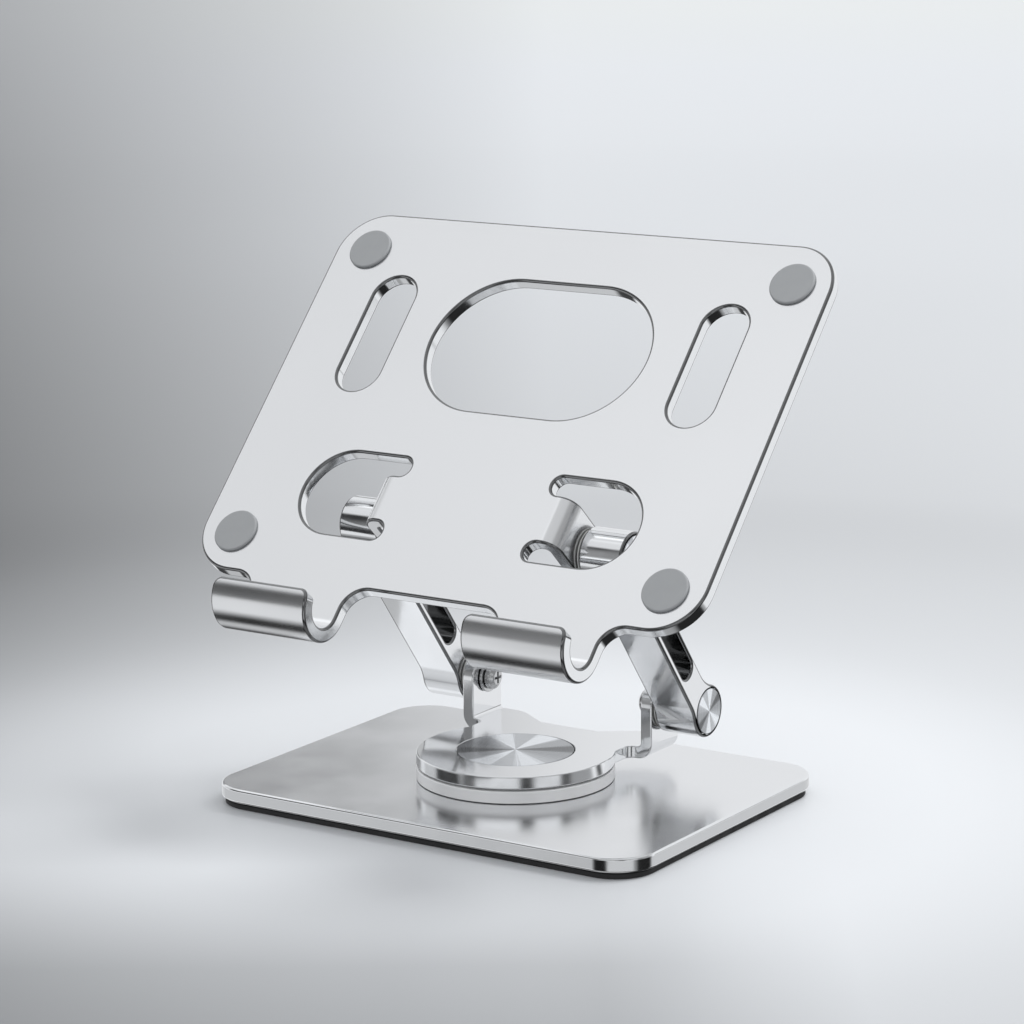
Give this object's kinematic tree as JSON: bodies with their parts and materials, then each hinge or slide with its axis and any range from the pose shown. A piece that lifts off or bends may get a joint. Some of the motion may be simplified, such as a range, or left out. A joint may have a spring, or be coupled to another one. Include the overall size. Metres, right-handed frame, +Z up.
{
  "type": "tablet stand",
  "caption": "Folding tablet stand: a perforated tray with front hooks leans on side arms above a swivelling yoke and a flat base plate.",
  "frame": {"origin": "centre of the underside of the foot pad, on the swivel axis", "axes": "+X to the right when the tray faces the viewer, +Y to the rear, +Z up; the tray faces -Y and upwards"},
  "size_m": [0.16, 0.1135, 0.1521],
  "materials": {
    "satin_aluminium": "satin, fine brushed",
    "polished_aluminium": "polished",
    "sunburst_aluminium": "turned, sunburst",
    "steel": "plated",
    "black_rubber": "matt",
    "grey_silicone": "matt",
    "white_nylon": "matt"
  },
  "bodies": {
    "base": {"base_plate": "polished_aluminium", "foot_pad": "black_rubber", "turntable_ring": "satin_aluminium", "glide_washer": "white_nylon", "ring_screw_1": "steel", "ring_screw_2": "steel", "ring_screw_3": "steel"},
    "yoke": {"yoke": "polished_aluminium", "yoke_cap": "sunburst_aluminium", "pivot_bolt": "steel", "pivot_washer": "steel", "pivot_nut": "steel", "lower_head_washer_left": "steel", "lower_head_washer_right": "steel"},
    "arms": {"arm_left": "satin_aluminium", "arm_right": "satin_aluminium", "lower_screw_left": "steel", "lower_screw_right": "steel", "lower_friction_washer_left": "white_nylon", "lower_friction_washer_right": "white_nylon", "lower_spring_washer_left": "steel", "lower_spring_washer_right": "steel", "lower_nut_left": "steel", "lower_nut_right": "steel", "lower_cap_left": "sunburst_aluminium", "lower_cap_right": "sunburst_aluminium", "upper_screw_left": "steel", "upper_screw_right": "steel", "upper_friction_washer_left": "white_nylon", "upper_friction_washer_right": "white_nylon", "upper_spring_washer_left": "steel", "upper_spring_washer_right": "steel", "upper_nut_left": "steel", "upper_nut_right": "steel", "upper_cap_left": "sunburst_aluminium", "upper_cap_right": "sunburst_aluminium"},
    "tray": {"tray": "satin_aluminium", "upper_head_washer_left": "steel", "upper_head_washer_right": "steel", "tray_pad_upper_left": "grey_silicone", "tray_pad_upper_right": "grey_silicone", "tray_pad_lower_left": "grey_silicone", "tray_pad_lower_right": "grey_silicone"}
  },
  "joints": [
    {"name": "base_swivel", "type": "hinge", "parent": "base", "child": "yoke", "pos_m": [0, 0, 0.0058], "axis": [0, 0, 1], "continuous": true},
    {"name": "arm_tilt", "type": "hinge", "parent": "yoke", "child": "arms", "pos_m": [0, 0.0276, 0.0243], "axis": [1, 0, 0], "range_deg": [-55, 15]},
    {"name": "tray_tilt", "type": "hinge", "parent": "arms", "child": "tray", "pos_m": [0, -0.0112, 0.07432], "axis": [1, 0, 0], "range_deg": [-50, 60]}
  ]
}
